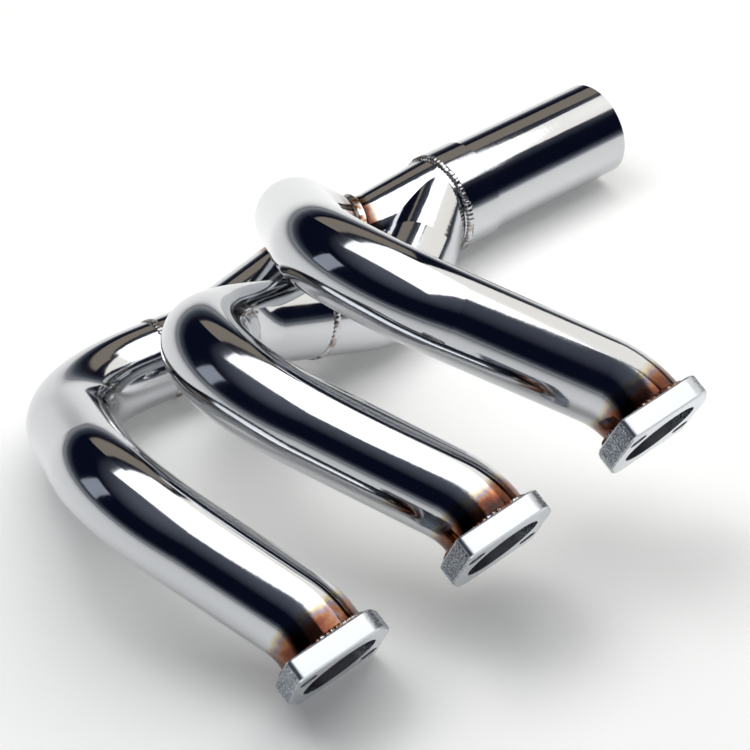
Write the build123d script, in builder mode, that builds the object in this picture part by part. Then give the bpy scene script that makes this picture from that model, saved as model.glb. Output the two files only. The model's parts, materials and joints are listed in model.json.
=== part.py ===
"""Three-into-one tubular exhaust manifold for one half of an inline six, lying as it rests on a bench.

Three short primaries leave their own two-bolt flanges, turn back under themselves and run along the
bench to a two-branch collector: primary 3 drops onto the run of primary 1, and the run of primary 2
joins at the collector. A sleeve then carries the plain outlet tube.

Frame: +X along the outlet tube and out of its open end, +Z up, the bench at Z = 0, the origin under
the middle of the whole manifold. Millimetres throughout. Everything is laid out from the point of the
bench right below port 1 and moved to the origin at the end.
"""

import os
from math import cos, radians, sin

from build123d import *

# ---- driving dimensions ------------------------------------------------------------------------
tube_od = 42.4          # primaries and runs
tube_wall = 1.5
bend_radius = 64.0      # centre line of the mandrel bends, one and a half diameters
leave_radius = 45.0     # the slight bend where a primary leaves its flange
run_radius = 80.0       # gentle bends along the bench

port_spacing = 91.0     # cylinder pitch
port_rise = 16.5        # degrees: the port line climbs from flange 1 to flange 3
port_toe = -6.0         # degrees: the port line turned from the outlet's direction
face_tip = 28.7         # degrees: the sealing faces look down by this much, about the port line

flange_thickness = 10.5
# Half of a flange's outline, from the port: along the port line and up the face. The other half is
# the same turned half round, and each corner has its own radius.
flange_tip = (-23.0, 39.0)
flange_shoulder = (22.0, 26.0)
flange_side = (28.0, 2.0)
flange_radii = [3.0, 11.0, 20.0]
flange_edge_break = 0.8
bolt_lean = 36.0            # degrees: the bolt line leans from the normal of the port line
bolt_spacing = 60.0
bolt_hole = 9.0
seat_depth = 6.0            # the tube stands in a counterbore from the back
seat_clearance = 0.1        # on the radius
flange_bead = 3.0           # leg of the fillet weld behind the flange

outlet_od = 54.0
outlet_length = 96.5        # what shows past the sleeve
sleeve_length = 20.0
sleeve_wall = 1.5
slip_clearance = 0.1        # on the radius
collector_slip = 6.0        # how far the collector's end enters the sleeve
outlet_reach = 86.0         # from port 3 to the collector ring, along the outlet
outlet_offset = 234.8       # from port 1 to the outlet's axis, square to it

run_gap = 21.0              # clear space between the two runs
collector_length = 42.0     # from the ring back to the run tubes
branch_set_back = 3.0
notch_length = 75.0         # from the ring back to where the runs stand clear of each other
bead_width = 5.0
bead_height = 0.8
ring_bead_width = 6.0
saddle_bead = 2.6

# Where each primary turns back: along the head, up the face and back from the face of its port.
turn_1 = (-36.7, 6.8, 122.0)
turn_2 = (-70.2, 5.0, 161.2)
turn_3 = (-81.6, 31.1, 147.6)
leave = 25.0                # from the sealing face to the slight bend behind the flange
landing_1 = (4.4, 1.0)      # along the outlet from port 1, and to the side of the outlet's axis
run_1_bend = (92.4, -8.0)
landing_2 = -8.4            # along the outlet from port 2
branch_1_back = (69.0, 15.0)    # last corner of run 1: back from the ring, and to the side
branch_2_back = 73.0
drop_2 = 1.5                # tube diameters above the bench where primaries 2 and 3 come down
drop_3 = 1.6
landing_3 = (-15.2, -14.0)  # along the outlet from port 3, and to the side of run 1's last corner
meeting_3 = (12.0, 4.0)     # where primary 3's line ends inside run 1, past that corner
joint_1_reach = 62.0        # from the landing corner to the butt weld
joint_2_reach = 55.0

# ---- sizes that follow ---------------------------------------------------------------------------
tube_r = tube_od / 2
tube_bore_r = tube_r - tube_wall
outlet_r = outlet_od / 2
sleeve_bore_r = outlet_r + slip_clearance
sleeve_r = sleeve_bore_r + sleeve_wall

# The runs and the sleeve stand on their weld beads, which share the bench with flange 1's bolt end.
run_z = tube_r + bead_height
ring_z = sleeve_r + bead_height

along_head = Vector(
    cos(radians(port_rise)) * cos(radians(port_toe)),
    cos(radians(port_rise)) * sin(radians(port_toe)),
    sin(radians(port_rise)),
)
level_out = Vector(sin(radians(port_toe)), -cos(radians(port_toe)), 0)
steep_up = level_out.cross(along_head)
face_out = level_out * cos(radians(face_tip)) - steep_up * sin(radians(face_tip))
face_up = face_out.cross(along_head)


half_outline = [flange_tip, flange_shoulder, flange_side]
with BuildSketch() as flange_outline:
    with BuildLine():
        FilletPolyline(
            *half_outline,
            *[(-across, -up) for across, up in half_outline],
            close=True,
            radius=flange_radii * 2,
        )
    make_face()

# Flange 1 stands on the lower edge of its sealing face, which sets how high its port is.
face_at_bench = Location(Plane(origin=(0, 0, 0), x_dir=along_head, z_dir=face_out))
port_height = -flange_outline.sketch.moved(face_at_bench).bounding_box().min.Z


def port(number):
    """Centre of a port on its sealing face, counted from 0."""
    return Vector(0, 0, port_height) + along_head * (port_spacing * number)


def from_port(number, along, up, back):
    """A point given from a port: along the head, up its face, and back from the sealing face."""
    return port(number) + along_head * along + face_up * up - face_out * back


def face_plane(number, back=0.0):
    """Plane of a flange: Z out of the sealing face, X along the port line."""
    return Plane(origin=from_port(number, 0, 0, back), x_dir=along_head, z_dir=face_out)


# ---- centre lines --------------------------------------------------------------------------------
# Every line starts on the tube's seat in the flange. The first corner is the slight bend behind the
# flange, the second and third turn the primary back under itself.
tube_start = flange_thickness - seat_depth

ring_centre = Vector(port(2).X + outlet_reach, outlet_offset, ring_z)
run_1_far = Vector(ring_centre.X - branch_1_back[0], outlet_offset + branch_1_back[1], run_z)
run_2_near_y = run_1_far.Y - tube_od - run_gap

line_1 = [
    from_port(0, 0, 0, tube_start),
    from_port(0, 0, 0, leave),
    from_port(0, *turn_1),
    Vector(landing_1[0], outlet_offset + landing_1[1], run_z),
    Vector(run_1_bend[0], outlet_offset + run_1_bend[1], run_z),
    run_1_far,
    ring_centre,
]
line_2 = [
    from_port(1, 0, 0, tube_start),
    from_port(1, 0, 0, leave),
    from_port(1, *turn_2),
    Vector(port(1).X + landing_2, run_2_near_y, drop_2 * tube_od),
    Vector(ring_centre.X - branch_2_back, run_2_near_y, run_z),
    ring_centre,
]
line_3 = [
    from_port(2, 0, 0, tube_start),
    from_port(2, 0, 0, leave),
    from_port(2, *turn_3),
    Vector(port(2).X + landing_3[0], run_1_far.Y + landing_3[1], drop_3 * tube_od),
    run_1_far + Vector(*meeting_3, 0),
]


def between(start, end, distance):
    """The point a distance along the straight from start to end."""
    return start + (end - start).normalized() * distance


joint_1 = between(line_1[3], line_1[4], joint_1_reach)
joint_2 = between(line_2[3], line_2[4], joint_2_reach)
run_heading_1 = (line_1[4] - line_1[3]).normalized()
run_heading_2 = (line_2[4] - line_2[3]).normalized()
inlet_1 = between(ring_centre, run_1_far, collector_length)
inlet_2 = between(ring_centre, line_2[4], collector_length)
heading_1 = (ring_centre - run_1_far).normalized()
heading_2 = (ring_centre - line_2[4]).normalized()


# ---- shapes that repeat --------------------------------------------------------------------------
def swept(points, radii, outer, bore=0.0):
    """A round bar, or a tube with a bore, along straights joined by bends."""
    with BuildPart() as made:
        with BuildLine() as path:
            FilletPolyline(*points, radius=radii)
        with BuildSketch(Plane(origin=path.line @ 0, z_dir=path.line % 0)):
            Circle(outer)
            if bore:
                Circle(bore, mode=Mode.SUBTRACT)
        sweep(path=path.line)
    return made.part


def ring_bead(centre, heading, radius, width, height):
    """A low crowned weld bead round a tube."""
    side = heading.cross(Vector(0, 0, 1)).normalized()
    with BuildPart() as bead:
        with BuildSketch(Plane(origin=centre, x_dir=side, z_dir=side.cross(heading))):
            with BuildLine():
                ThreePointArc((radius, -width / 2), (radius + height, 0), (radius, width / 2))
                Line((radius, width / 2), (radius, -width / 2))
            make_face()
        revolve(axis=Axis(centre, heading))
    return bead.part


def cone(start, start_heading, start_r, end, end_r):
    """A round branch that swells from its inlet to the collector ring."""
    with BuildPart() as branch:
        with BuildSketch(Plane(origin=start, z_dir=start_heading)):
            Circle(start_r)
        with BuildSketch(Plane(origin=end, z_dir=(1, 0, 0))):
            Circle(end_r)
        loft()
    return branch.part


pieces = {}

# ---- flanges and the fillet welds behind them ------------------------------------------------------
def flange_piece(number):
    """A two-bolt flange: a drilled, counterbored skewed plate with its edges broken."""
    with BuildPart() as flange:
        with BuildSketch(face_plane(number, flange_thickness)):
            add(flange_outline.sketch)
        extrude(amount=flange_thickness)
        rims = flange.edges().filter_by(lambda e: abs((e % 0.5).dot(face_out)) < 0.01)
        chamfer(rims, flange_edge_break)
        with BuildSketch(face_plane(number)):
            Circle(tube_bore_r)
            with PolarLocations(bolt_spacing / 2, 2, start_angle=90 + bolt_lean):
                Circle(bolt_hole / 2)
        extrude(amount=-flange_thickness, mode=Mode.SUBTRACT)
        with BuildSketch(face_plane(number, flange_thickness)):
            Circle(tube_r + seat_clearance)
        extrude(amount=seat_depth, mode=Mode.SUBTRACT)
    return flange.part


def flange_weld(number, bar):
    """The fillet weld round a primary, on the back of its flange."""
    plane = face_plane(number, flange_thickness)
    with BuildPart() as bead:
        with BuildSketch(Plane(origin=plane.origin, x_dir=plane.x_dir, z_dir=-plane.y_dir)):
            with BuildLine():
                Polyline(
                    (tube_r - 1, -flange_bead),
                    (tube_r - 1, 0),
                    (tube_r + flange_bead, 0),
                )
                ThreePointArc(
                    (tube_r + flange_bead, 0),
                    (tube_r + 0.55 * flange_bead, -0.55 * flange_bead),
                    (tube_r + 0.15 * flange_bead, -flange_bead),
                )
                Line((tube_r + 0.15 * flange_bead, -flange_bead), (tube_r - 1, -flange_bead))
            make_face()
        revolve(axis=Axis(plane.origin, face_out))
        add(bar, mode=Mode.SUBTRACT)
    return bead.part


# ---- primaries and runs ---------------------------------------------------------------------------
bends = [leave_radius, bend_radius, bend_radius]
primary_paths = [
    (line_1[:4] + [joint_1], bends),
    (line_2[:4] + [joint_2], bends),
    (line_3, bends),
]
run_paths = [
    ([joint_1, line_1[4], run_1_far, inlet_1], [run_radius, run_radius]),
    ([joint_2, line_2[4], inlet_2], [bend_radius]),
]
primary_bars = [swept(points, radii, tube_r) for points, radii in primary_paths]
primary_tubes = [swept(points, radii, tube_r, tube_bore_r) for points, radii in primary_paths]
run_bars = [swept(points, radii, tube_r) for points, radii in run_paths]
run_tubes = [swept(points, radii, tube_r, tube_bore_r) for points, radii in run_paths]

# Primary 3 is fish-mouthed onto the run of primary 1, which has a port cut for it.
with BuildPart() as primary_3:
    add(primary_tubes[2])
    add(run_bars[0], mode=Mode.SUBTRACT)
primary_tubes[2] = primary_3.part.solids().sort_by(SortBy.VOLUME)[-1]

with BuildPart() as run_1:
    add(run_tubes[0])
    add(swept(line_3, bends, tube_bore_r), mode=Mode.SUBTRACT)
run_tubes[0] = run_1.part.solids().sort_by(SortBy.VOLUME)[-1]

with BuildPart() as saddle_weld:
    add(swept(line_3[2:], [bend_radius], tube_r + saddle_bead))
    add(swept(*run_paths[0], tube_r + saddle_bead), mode=Mode.INTERSECT)
    add(primary_bars[2], mode=Mode.SUBTRACT)
    add(run_bars[0], mode=Mode.SUBTRACT)

# Where the two runs close in on each other, ahead of the collector, both are notched to the plane
# midway between them.
midway = Vector(heading_1.X + heading_2.X, heading_1.Y + heading_2.Y, 0).normalized()
parting = Plane(origin=ring_centre, x_dir=-midway, z_dir=(0, 0, 1))
for number, side in enumerate((1, -1)):
    with BuildPart() as notched:
        add(run_tubes[number])
        with BuildSketch(parting.offset(-sleeve_r)):
            with Locations((notch_length / 2, side * tube_r)):
                Rectangle(notch_length, tube_od)
        extrude(amount=2 * sleeve_r, mode=Mode.SUBTRACT)
    run_tubes[number] = notched.part.solids().sort_by(SortBy.VOLUME)[-1]

# ---- collector ------------------------------------------------------------------------------------
# Two pressed halves, split on the plane midway between the two branches and welded flush.
# The second branch ends just inside the first one's mouth, so the two blend without a lip.
mouth_2 = ring_centre - Vector(branch_set_back, 0, 0)
mouth_2_r = outlet_r - branch_set_back / 2
body_bars = [
    cone(inlet_1, heading_1, tube_r, ring_centre, outlet_r),
    cone(inlet_2, heading_2, tube_r, mouth_2, mouth_2_r),
]
body_bores = [
    cone(inlet_1, heading_1, tube_bore_r, ring_centre, outlet_r - tube_wall),
    cone(inlet_2, heading_2, tube_bore_r, mouth_2, mouth_2_r - tube_wall),
]
with BuildPart() as body:
    for bar in body_bars:
        add(bar)
    with BuildSketch(Plane(origin=ring_centre, z_dir=(1, 0, 0))):
        Circle(outlet_r)
    extrude(amount=collector_slip)
    for bore in body_bores:
        add(bore, mode=Mode.SUBTRACT)
    with BuildSketch(Plane(origin=ring_centre, z_dir=(1, 0, 0))):
        Circle(outlet_r - tube_wall)
    extrude(amount=collector_slip, mode=Mode.SUBTRACT)

halves = []
for side in (Keep.TOP, Keep.BOTTOM):
    with BuildPart() as half:
        add(body.part)
        split(bisect_by=Plane(origin=ring_centre, z_dir=parting.y_dir), keep=side)
    halves.append(half.part)

# ---- sleeve, outlet tube and the ring weld -----------------------------------------------------------
sleeve_plane = Plane(origin=ring_centre, z_dir=(1, 0, 0))
# The sleeve is counterbored for the collector's end, and the outlet tube is butted to its other face.
with BuildPart() as sleeve:
    with BuildSketch(sleeve_plane):
        Circle(sleeve_r)
        Circle(outlet_r - tube_wall, mode=Mode.SUBTRACT)
    extrude(amount=sleeve_length)
    with BuildSketch(sleeve_plane):
        Circle(sleeve_bore_r)
    extrude(amount=collector_slip, mode=Mode.SUBTRACT)

with BuildPart() as outlet_tube:
    with BuildSketch(sleeve_plane.offset(sleeve_length)):
        Circle(outlet_r)
        Circle(outlet_r - tube_wall, mode=Mode.SUBTRACT)
    extrude(amount=outlet_length)

# The heavy bead that closes the step between the collector and the sleeve's inlet edge.
with BuildPart() as ring_weld:
    add(ring_bead(ring_centre, Vector(1, 0, 0), outlet_r, ring_bead_width, ring_z - outlet_r))
    for bar in body_bars:
        add(bar, mode=Mode.SUBTRACT)
    with BuildSketch(sleeve_plane):
        Circle(sleeve_r)
    extrude(amount=sleeve_length, mode=Mode.SUBTRACT)

for number in range(3):
    pieces[f"flange_{number + 1}"] = flange_piece(number)
    pieces[f"flange_weld_{number + 1}"] = flange_weld(number, primary_bars[number])
    pieces[f"primary_tube_{number + 1}"] = primary_tubes[number]
pieces["run_tube_1"] = run_tubes[0]
pieces["run_tube_2"] = run_tubes[1]
pieces["joint_weld_1"] = ring_bead(joint_1, run_heading_1, tube_r, bead_width, bead_height)
pieces["joint_weld_2"] = ring_bead(joint_2, run_heading_2, tube_r, bead_width, bead_height)
pieces["saddle_weld_3"] = saddle_weld.part
pieces["collector_half_1"] = halves[0]
pieces["collector_half_2"] = halves[1]
pieces["ring_weld"] = ring_weld.part.solids().sort_by(SortBy.VOLUME)[-1]
pieces["sleeve"] = sleeve.part
pieces["outlet_tube"] = outlet_tube.part

# ---- move to the origin and write out ---------------------------------------------------------------
boxes = [piece.bounding_box() for piece in pieces.values()]
low = Vector(*(min(getattr(box.min, axis) for box in boxes) for axis in "XYZ"))
high = Vector(*(max(getattr(box.max, axis) for box in boxes) for axis in "XYZ"))
to_origin = Location((-(low.X + high.X) / 2, -(low.Y + high.Y) / 2, -low.Z))
os.makedirs("parts", exist_ok=True)
for name, piece in pieces.items():
    placed = piece.moved(to_origin)
    placed.label = name
    export_step(placed, f"parts/{name}.step")
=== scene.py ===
"""The looks of a polished three-into-one exhaust manifold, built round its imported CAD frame."""

import json
import math
import random

import bpy
import numpy as np
from mathutils import Matrix, Vector


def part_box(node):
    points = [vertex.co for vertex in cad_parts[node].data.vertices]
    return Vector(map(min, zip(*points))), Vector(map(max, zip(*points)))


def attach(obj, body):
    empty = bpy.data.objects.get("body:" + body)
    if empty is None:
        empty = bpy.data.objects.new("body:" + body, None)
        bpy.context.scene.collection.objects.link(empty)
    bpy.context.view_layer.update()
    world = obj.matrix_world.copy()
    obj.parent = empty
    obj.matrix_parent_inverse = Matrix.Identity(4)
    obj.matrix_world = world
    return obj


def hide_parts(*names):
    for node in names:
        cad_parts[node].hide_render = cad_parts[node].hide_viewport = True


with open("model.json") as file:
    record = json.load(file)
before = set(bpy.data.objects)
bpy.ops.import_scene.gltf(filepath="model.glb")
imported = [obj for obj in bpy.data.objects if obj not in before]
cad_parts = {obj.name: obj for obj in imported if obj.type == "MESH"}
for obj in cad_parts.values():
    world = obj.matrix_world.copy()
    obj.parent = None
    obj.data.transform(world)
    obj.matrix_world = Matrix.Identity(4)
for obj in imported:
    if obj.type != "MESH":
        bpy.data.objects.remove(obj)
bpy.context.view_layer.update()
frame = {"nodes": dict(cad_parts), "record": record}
nodes = frame["nodes"]
mounts = {mount["name"]: mount for mount in frame["record"]["mounts"]}
bpy.ops.object.select_all(action="DESELECT")


# ---- primaries, runs, collector, sleeve and outlet tube ----------------------------------------------
# Mandrel-bent stainless tube, buffed to a mirror after welding. Buffing leaves a faint orange peel on the
# bends. The welds at the flanges and the saddle leave brown and straw oxide on the tube, and the other
# welds were polished clean.
STEEL = "#c8cacd"
ORANGE_PEEL_MM = 2.6
SMEAR_MM = 30.0
HEAT_WANDER_MM = 11.0
HEAT_REACH_MM = 11.0
HEAT_RAGGED_M = 0.007
HOT_WELDS = ("flange_weld_1", "flange_weld_2", "flange_weld_3", "saddle_weld_3")


def colour(hex_code):
    """A linear colour from an sRGB hex value."""
    parts = [int(hex_code[i:i + 2], 16) / 255 for i in (1, 3, 5)]
    return (*[p / 12.92 if p <= 0.04045 else ((p + 0.055) / 1.055) ** 2.4 for p in parts], 1.0)


def add_node(tree, kind, inputs=None, stops=None, **settings):
    """Adds a node with its settings, and its inputs as values or as sockets to link from."""
    node = tree.nodes.new(kind)
    for name, value in settings.items():
        setattr(node, name, value)
    if stops:
        marks = node.color_ramp.elements
        marks[-1].position, marks[0].position = stops[-1][0], stops[0][0]
        marks[-1].color, marks[0].color = colour(stops[-1][1]), colour(stops[0][1])
        for place, shade in stops[1:-1]:
            marks.new(place).color = colour(shade)
    for socket, value in (inputs or {}).items():
        if isinstance(value, bpy.types.NodeSocket):
            tree.links.new(value, node.inputs[socket])
        else:
            node.inputs[socket].default_value = value
    return node


def new_finish(name):
    """An empty material with its tree, a metal shader and the point on the object."""
    finish = bpy.data.materials.new(name)
    finish.use_nodes = True
    tree = finish.node_tree
    tree.nodes.clear()
    shader = add_node(tree, "ShaderNodeBsdfPrincipled", {"Metallic": 1.0})
    add_node(tree, "ShaderNodeOutputMaterial", {"Surface": shader.outputs["BSDF"]})
    point = add_node(tree, "ShaderNodeTexCoord").outputs["Object"]
    return finish, tree, shader, point


def middle(node):
    """The middle of a CAD node's box."""
    low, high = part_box(node)
    return (low + high) / 2


def mirror_polished_stainless():
    """Buffed stainless tube with heat tint round the hot welds."""
    finish, tree, shader, point = new_finish("mirror_polished_stainless")
    wander = add_node(tree, "ShaderNodeTexNoise", {
        "Vector": point, "Scale": 1000 / HEAT_WANDER_MM, "Detail": 3.0})
    nearest = None
    for node in HOT_WELDS:
        reach = add_node(tree, "ShaderNodeVectorMath", {0: point, 1: middle(node)}, operation="DISTANCE")
        low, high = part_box(node)
        own_radius = max(high - low) / 2
        beyond = add_node(tree, "ShaderNodeMath", {
            0: reach.outputs["Value"], 1: own_radius}, operation="SUBTRACT").outputs[0]
        if nearest is None:
            nearest = beyond
        else:
            nearest = add_node(
                tree, "ShaderNodeMath", {0: nearest, 1: beyond}, operation="MINIMUM").outputs[0]
    spread = add_node(tree, "ShaderNodeMath", {
        0: wander.outputs["Fac"], 1: HEAT_RAGGED_M, 2: nearest}, operation="MULTIPLY_ADD")
    heat = add_node(tree, "ShaderNodeMath", {
        0: spread.outputs[0], 1: 1000 / HEAT_REACH_MM}, operation="MULTIPLY", use_clamp=True)
    tint = add_node(tree, "ShaderNodeValToRGB", {"Fac": heat.outputs[0]}, stops=[
        (0.00, "#3a2a26"), (0.14, "#6f4030"), (0.22, "#8a6248"), (0.30, "#7f7684"),
        (0.38, "#a89a80"), (0.48, "#c4bcaa"), (0.60, STEEL)])
    smear = add_node(tree, "ShaderNodeTexNoise", {
        "Vector": point, "Scale": 1000 / SMEAR_MM, "Detail": 2.0})
    rough = add_node(tree, "ShaderNodeMapRange", {
        "Value": smear.outputs["Fac"], "From Min": 0.3, "From Max": 0.7, "To Min": 0.06, "To Max": 0.12})
    peel = add_node(tree, "ShaderNodeTexNoise", {
        "Vector": point, "Scale": 1000 / ORANGE_PEEL_MM, "Detail": 1.0})
    bump = add_node(tree, "ShaderNodeBump", {
        "Height": peel.outputs["Fac"], "Strength": 0.12, "Distance": 0.0001})
    tree.links.new(tint.outputs["Color"], shader.inputs["Base Color"])
    tree.links.new(rough.outputs["Result"], shader.inputs["Roughness"])
    tree.links.new(bump.outputs["Normal"], shader.inputs["Normal"])
    return finish


tube_finish = mirror_polished_stainless()
for name, node in nodes.items():
    if "weld" not in name and not name.startswith("flange"):
        node.data.materials.clear()
        node.data.materials.append(tube_finish)


# ---- flanges -----------------------------------------------------------------------------------------
# Plates cut from stainless bar. The long sides are milled smooth and catch the light, the short sides
# keep the coarse pitted surface of the cut, and the sealing face is ground to a satin.
FLANGE_GREY = "#e2e6ea"
CUT_DARK = "#39424f"
CUT_PIT_MM = 1.1
GRIND_MM = 0.5
port_line = (Vector(mounts["port_3_studs"]["pos_m"]) - Vector(mounts["port_1_studs"]["pos_m"])).normalized()


def ground_flange_steel():
    """Satin stainless plate whose short sides keep their cut surface."""
    finish, tree, shader, point = new_finish("ground_flange_steel")
    facing = add_node(tree, "ShaderNodeNewGeometry").outputs["Normal"]
    across = add_node(tree, "ShaderNodeVectorMath", {0: facing, 1: port_line}, operation="DOT_PRODUCT")
    sideways = add_node(tree, "ShaderNodeMath", {0: across.outputs["Value"]}, operation="ABSOLUTE")
    is_cut = add_node(tree, "ShaderNodeMapRange", {
        "Value": sideways.outputs[0], "From Min": 0.45, "From Max": 0.85}, clamp=True)
    pits = add_node(tree, "ShaderNodeTexNoise", {
        "Vector": point, "Scale": 1000 / CUT_PIT_MM, "Detail": 4.0, "Roughness": 0.7})
    speckle = add_node(tree, "ShaderNodeValToRGB", {"Fac": pits.outputs["Fac"]}, stops=[
        (0.40, CUT_DARK), (0.52, "#7b8693"), (0.60, "#d3d9df")])
    shade = add_node(tree, "ShaderNodeMix", {
        0: is_cut.outputs["Result"], 6: colour(FLANGE_GREY), 7: speckle.outputs["Color"]}, data_type="RGBA")
    grain = add_node(tree, "ShaderNodeTexNoise", {"Vector": point, "Scale": 1000 / GRIND_MM})
    rough = add_node(tree, "ShaderNodeMapRange", {
        "Value": grain.outputs["Fac"], "To Min": 0.24, "To Max": 0.40})
    depth = add_node(tree, "ShaderNodeMath", {
        0: pits.outputs["Fac"], 1: is_cut.outputs["Result"]}, operation="MULTIPLY")
    bump = add_node(tree, "ShaderNodeBump", {
        "Height": depth.outputs[0], "Strength": 0.7, "Distance": 0.0004})
    tree.links.new(shade.outputs[2], shader.inputs["Base Color"])
    tree.links.new(rough.outputs["Result"], shader.inputs["Roughness"])
    tree.links.new(bump.outputs["Normal"], shader.inputs["Normal"])
    return finish


flange_finish = ground_flange_steel()
for number in (1, 2, 3):
    flange = nodes[f"flange_{number}"]
    flange.data.materials.clear()
    flange.data.materials.append(flange_finish)


# ---- weld beads --------------------------------------------------------------------------------------
# TIG beads laid in overlapping pools, one every couple of millimetres. Those at the flanges and the
# saddle keep their brown oxide. The ring at the sleeve was laid heavier and is uneven.
POOL_MM = 2.4
OXIDE_PATCH_MM = 5.0
BEAD_SEGMENTS_PER_POOL = 6


def tig_bead_metal(name, stops):
    """Weld metal with bright spots between patches of oxide."""
    finish, tree, shader, point = new_finish(name)
    patches = add_node(tree, "ShaderNodeTexNoise", {
        "Vector": point, "Scale": 1000 / OXIDE_PATCH_MM, "Detail": 3.0})
    shade = add_node(tree, "ShaderNodeValToRGB", {"Fac": patches.outputs["Fac"]}, stops=stops)
    rough = add_node(tree, "ShaderNodeMapRange", {
        "Value": patches.outputs["Fac"], "To Min": 0.40, "To Max": 0.14})
    tree.links.new(shade.outputs["Color"], shader.inputs["Base Color"])
    tree.links.new(rough.outputs["Result"], shader.inputs["Roughness"])
    return finish


tinted_bead = tig_bead_metal("tinted_bead", [
    (0.34, "#3a2b2a"), (0.44, "#7e4630"), (0.52, "#a58a73"), (0.62, "#cfd0d2")])
clean_bead = tig_bead_metal("clean_bead", [
    (0.32, "#6b625c"), (0.42, "#a39a92"), (0.54, "#c9cacc")])


def ring_of(node, axis=None):
    """Centre, axis, inner and outer radius and half width of a round CAD bead."""
    points = np.array([vertex.co for vertex in nodes[node].data.vertices])
    centre = np.array(middle(node))
    if axis is None:
        axis = np.linalg.svd(points - centre, full_matrices=False)[2][2]
    axis = np.array(axis)
    along = (points - centre) @ axis
    radii = np.linalg.norm(points - centre - np.outer(along, axis), axis=1)
    centre = centre + axis * (along.min() + along.max()) / 2
    return centre, axis, radii.min(), radii.max(), (along.max() - along.min()) / 2


def rippled_bead(node, unevenness, finish, axis=None):
    """A bead of overlapping pools that takes the place of a plain CAD bead."""
    centre, axis, inner, outer, half_width = ring_of(node, axis)
    pools = int(2 * math.pi * inner * 1000 / POOL_MM)
    chance = random.Random(node)
    heights = [1 - unevenness * chance.random() for _ in range(pools)]
    bpy.ops.object.select_all(action="DESELECT")
    bpy.ops.mesh.primitive_torus_add(
        major_radius=inner, minor_radius=half_width,
        major_segments=pools * BEAD_SEGMENTS_PER_POOL, minor_segments=16)
    bead = bpy.context.active_object
    bead.name = node + "_bead"
    for vertex in bead.data.vertices:
        turn = (math.atan2(vertex.co.y, vertex.co.x) / (2 * math.pi)) % 1 * pools
        pool = heights[int(turn) % pools]
        following = heights[(int(turn) + 1) % pools]
        blend = turn % 1
        ripple = 0.72 + 0.28 * math.sin(math.pi * blend)
        crown = (outer - inner) * (pool * (1 - blend) + following * blend) * ripple
        radial = math.hypot(vertex.co.x, vertex.co.y)
        lift = (radial - inner) / half_width * crown
        vertex.co.x *= (inner + lift) / radial
        vertex.co.y *= (inner + lift) / radial
        vertex.co.z *= ripple
    turned = Vector((0, 0, 1)).rotation_difference(Vector(axis)).to_matrix().to_4x4()
    bead.data.transform(Matrix.Translation(Vector(centre)) @ turned)
    bpy.ops.object.shade_smooth()
    bead.data.materials.append(finish)
    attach(bead, "root")
    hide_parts(node)


for number in (1, 2, 3):
    rippled_bead(f"flange_weld_{number}", 0.25, tinted_bead, mounts[f"port_{number}_studs"]["axis"])
for number in (1, 2):
    rippled_bead(f"joint_weld_{number}", 0.2, clean_bead)
rippled_bead("ring_weld", 0.55, clean_bead, mounts["outlet"]["axis"])

saddle = nodes["saddle_weld_3"]
saddle.data.materials.clear()
saddle.data.materials.append(tinted_bead)


# ---- floor, light and camera -------------------------------------------------------------------------
# A pale sweep in a dark room. The overhead softbox and the card on the right make the white bands in the
# polish, the warm card behind makes the grey ones, and the floor shows underneath. The key light on the
# left only sets the way the shadows fall, and doesn't show in the polish.
FLOOR_WHITE = "#f4f4f2"
FLOOR_GLOW = 0.16
ROOM_NAVY = "#0c1022"
WARM_CARD = "#d8cbb6"


def soft_panel(name, place, size, aim, strength, shade):
    """A rectangular softbox that points at a place."""
    light = bpy.data.lights.new(name, "AREA")
    light.shape = "RECTANGLE"
    light.size, light.size_y = size
    light.energy = strength * math.pi * size[0] * size[1]
    light.color = colour(shade)[:3]
    lamp = bpy.data.objects.new(name, light)
    bpy.context.scene.collection.objects.link(lamp)
    lamp.location = place
    lamp.rotation_euler = (Vector(aim) - Vector(place)).to_track_quat("-Z", "Y").to_euler()


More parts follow.
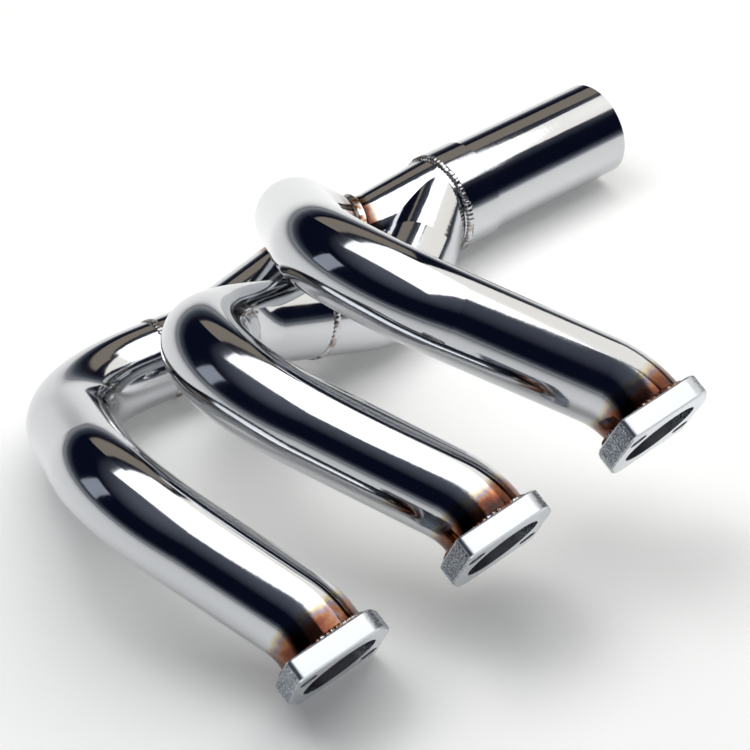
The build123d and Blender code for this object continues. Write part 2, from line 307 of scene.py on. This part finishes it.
bpy.ops.object.select_all(action="DESELECT")
bpy.ops.mesh.primitive_grid_add(x_subdivisions=4, y_subdivisions=4, size=12)
floor = bpy.context.active_object
floor.name = "floor"
paint = bpy.data.materials.new("matt_white_sweep")
paint.use_nodes = True
matt = paint.node_tree.nodes["Principled BSDF"].inputs
matt["Base Color"].default_value = colour(FLOOR_WHITE)
matt["Roughness"].default_value = 0.9
matt["Emission Color"].default_value = colour(FLOOR_WHITE)
matt["Emission Strength"].default_value = FLOOR_GLOW
floor.data.materials.append(paint)

soft_panel("overhead_softbox", (0.35, 0.15, 1.3), (1.4, 1.5), (0.35, 0.15, 0), 2.1, "#ffffff")
soft_panel("right_card", (1.45, 0.1, 1.0), (1.0, 1.6), (0.2, 0.0, 0), 1.4, "#f6f2ea")
soft_panel("far_card", (0.95, 1.35, 0.95), (1.3, 0.7), (0.1, 0.1, 0), 0.42, WARM_CARD)
soft_panel("left_card", (-1.3, 1.0, 0.7), (0.5, 0.8), (0, 0, 0.05), 0.5, "#dfe6f5")
soft_panel("key", (-0.52, 0.42, 1.4), (0.8, 0.8), (0, 0, 0), 3.6, "#ffffff")
bpy.data.objects["key"].visible_glossy = False

room = bpy.data.worlds.new("dark_room")
room.use_nodes = True
looking = add_node(room.node_tree, "ShaderNodeTexCoord").outputs["Generated"]
height = add_node(room.node_tree, "ShaderNodeSeparateXYZ", {"Vector": looking}).outputs["Z"]
walls = add_node(room.node_tree, "ShaderNodeValToRGB", {"Fac": height}, stops=[
    (0.00, "#9a9da2"), (0.08, "#4a4f5a"), (0.20, ROOM_NAVY), (0.62, ROOM_NAVY), (0.92, "#5f6470")])
room.node_tree.links.new(walls.outputs["Color"], room.node_tree.nodes["Background"].inputs["Color"])
bpy.context.scene.world = room
bpy.context.scene.view_settings.view_transform = "Standard"

lens = bpy.data.cameras.new("camera")
lens.lens = 109.2
lens.sensor_width = 36.0
camera = bpy.data.objects.new("camera", lens)
camera.location = (-0.5819, -0.6586, 0.769)
camera.rotation_euler = (math.radians(50.0), 0.0, math.radians(-39.4))
bpy.context.scene.collection.objects.link(camera)
bpy.context.scene.camera = camera
